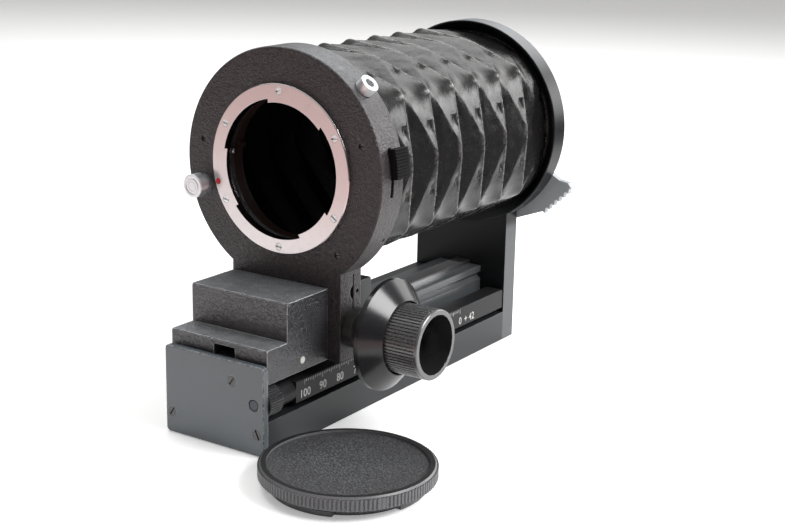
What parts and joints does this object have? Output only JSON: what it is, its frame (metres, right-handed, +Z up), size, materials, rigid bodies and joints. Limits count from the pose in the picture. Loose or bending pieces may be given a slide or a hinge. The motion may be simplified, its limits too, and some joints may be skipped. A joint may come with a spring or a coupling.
{
  "type": "macro bellows unit",
  "caption": "Macro bellows unit: a lens standard driven along a base rail by rack and knob, a folding light-tight bellows, a rear standard with a camera mount, and a loose cap",
  "frame": {"origin": "on the table, under the middle of the end plate's front face", "axes": "+Z up, +Y along the rail from the lens end to the camera, +X towards the focusing knob"},
  "size_m": [0.1253, 0.2097, 0.1296],
  "materials": {
    "satin_black": "satin black enamel on machined light alloy, edges rubbed brighter",
    "satin_black_2": "satin black enamel, running flanks polished by the gibs",
    "steel": "machined steel",
    "dark_screw": "blackened steel with bright slots",
    "bright_screw": "chromed steel",
    "brass": "machined brass",
    "cloth_frame": "matt black",
    "bar_grey": "dark anodised alloy with white engraved scale",
    "knob_black": "black enamel with fine ribs",
    "gloss_black": "semi-gloss black enamel",
    "crackle_black": "black crackle enamel with fine leather-like grain",
    "white_enamel": "white enamel dot",
    "red_enamel": "red enamel dot",
    "bright_mount": "satin chromed brass",
    "matt_black": "matt anti-reflection black",
    "coated_cloth": "black rubber-coated cloth, folded, light-tight",
    "brown_metal": "brown-black anodised ring",
    "black_plastic": "black moulded plastic, speckled centre"
  },
  "bodies": {
    "base": {"base_channel": "satin_black", "guide_rail": "satin_black_2", "rack_strip": "steel", "end_plate": "satin_black", "end_plate_screws": "dark_screw", "tripod_bush_small": "brass", "tripod_bush_large": "brass", "rear_standard": "satin_black", "upright_screws": "dark_screw", "bellows_rear_frame": "cloth_frame", "bellows": "coated_cloth"},
    "scale": {"scale_bar": "bar_grey", "scale_knob": "knob_black"},
    "carriage": {"carriage_block": "crackle_black", "index_dot": "white_enamel", "gib_left": "brass", "gib_right": "brass", "lens_standard": "crackle_black", "lens_mount_ring": "bright_mount", "lens_mount_screws": "bright_screw", "mount_dot": "red_enamel", "mount_spring_ring": "steel", "ring_set_screws": "dark_screw", "rim_screw": "dark_screw", "cable_socket": "bright_mount", "front_baffle": "matt_black", "bellows_front_frame": "cloth_frame", "gear_cover": "satin_black", "gear_cover_screws": "dark_screw", "clamp_screw": "dark_screw", "shaft_boss": "satin_black", "release_spring": "steel"},
    "release": {"release_button": "bright_mount", "release_clip": "steel"},
    "lock_pin": {"lock_pin": "steel"},
    "stopdown": {"stopdown_ring": "brown_metal", "stopdown_lever": "knob_black"},
    "drive": {"pinion_shaft": "steel", "drive_knob": "knob_black", "knob_screw": "steel"},
    "clamp": {"clamp_ring": "gloss_black"},
    "camera_lever": {"camera_lever": "satin_black"},
    "turntable": {"camera_turntable": "bright_mount", "turntable_retainer": "matt_black"},
    "cap": {"cap": "black_plastic", "cap_disc": "black_plastic"}
  },
  "joints": [
    {"name": "carriage_slide", "type": "slide", "parent": "base", "child": "carriage", "axis": [0, 1, 0], "range_m": [0, 0.1], "deforming": ["bellows"]},
    {"name": "drive_turn", "type": "hinge", "parent": "carriage", "child": "drive", "pos_m": [0, 0.0448, 0.0347], "axis": [-1, 0, 0], "range_deg": [0, 1595]},
    {"name": "clamp_turn", "type": "hinge", "parent": "carriage", "child": "clamp", "pos_m": [0, 0.0448, 0.0347], "axis": [1, 0, 0], "range_deg": [0, 60]},
    {"name": "scale_turn", "type": "hinge", "parent": "base", "child": "scale", "pos_m": [0.0171, 0, 0.0175], "axis": [0, 1, 0], "continuous": true},
    {"name": "release_press", "type": "slide", "parent": "carriage", "child": "release", "axis": [0, 1, 0], "range_m": [0, 0.0012], "stiffness_N_per_m": 600, "springref_m": -0.001, "deforming": ["release_spring"]},
    {"name": "lock_pin_slide", "type": "slide", "parent": "carriage", "child": "lock_pin", "axis": [-0.9925, 0, 0.1219], "range_m": [0, 0.0012]},
    {"name": "stopdown_turn", "type": "hinge", "parent": "carriage", "child": "stopdown", "pos_m": [0, 0, 0.088], "axis": [0, 1, 0], "range_deg": [0, 9], "stiffness_Nm_per_rad": 0.05, "springref_deg": -8.59},
    {"name": "camera_lever_turn", "type": "hinge", "parent": "base", "child": "camera_lever", "pos_m": [0, 0, 0.088], "axis": [0, 1, 0], "range_deg": [0, 12]},
    {"name": "turntable_turn", "type": "hinge", "parent": "base", "child": "turntable", "pos_m": [0, 0, 0.088], "axis": [0, 1, 0], "range_deg": [0, 90]},
    {"name": "cap_lift", "type": "slide", "parent": "base", "child": "cap", "axis": [0, 0, 1], "range_m": [0, 0.02]}
  ],
  "couplings": [
    {"joint": "drive_turn", "follows": "carriage_slide", "rad_per_m": 277.78},
    {"joint": "lock_pin_slide", "follows": "release_press", "ratio": 1}
  ]
}
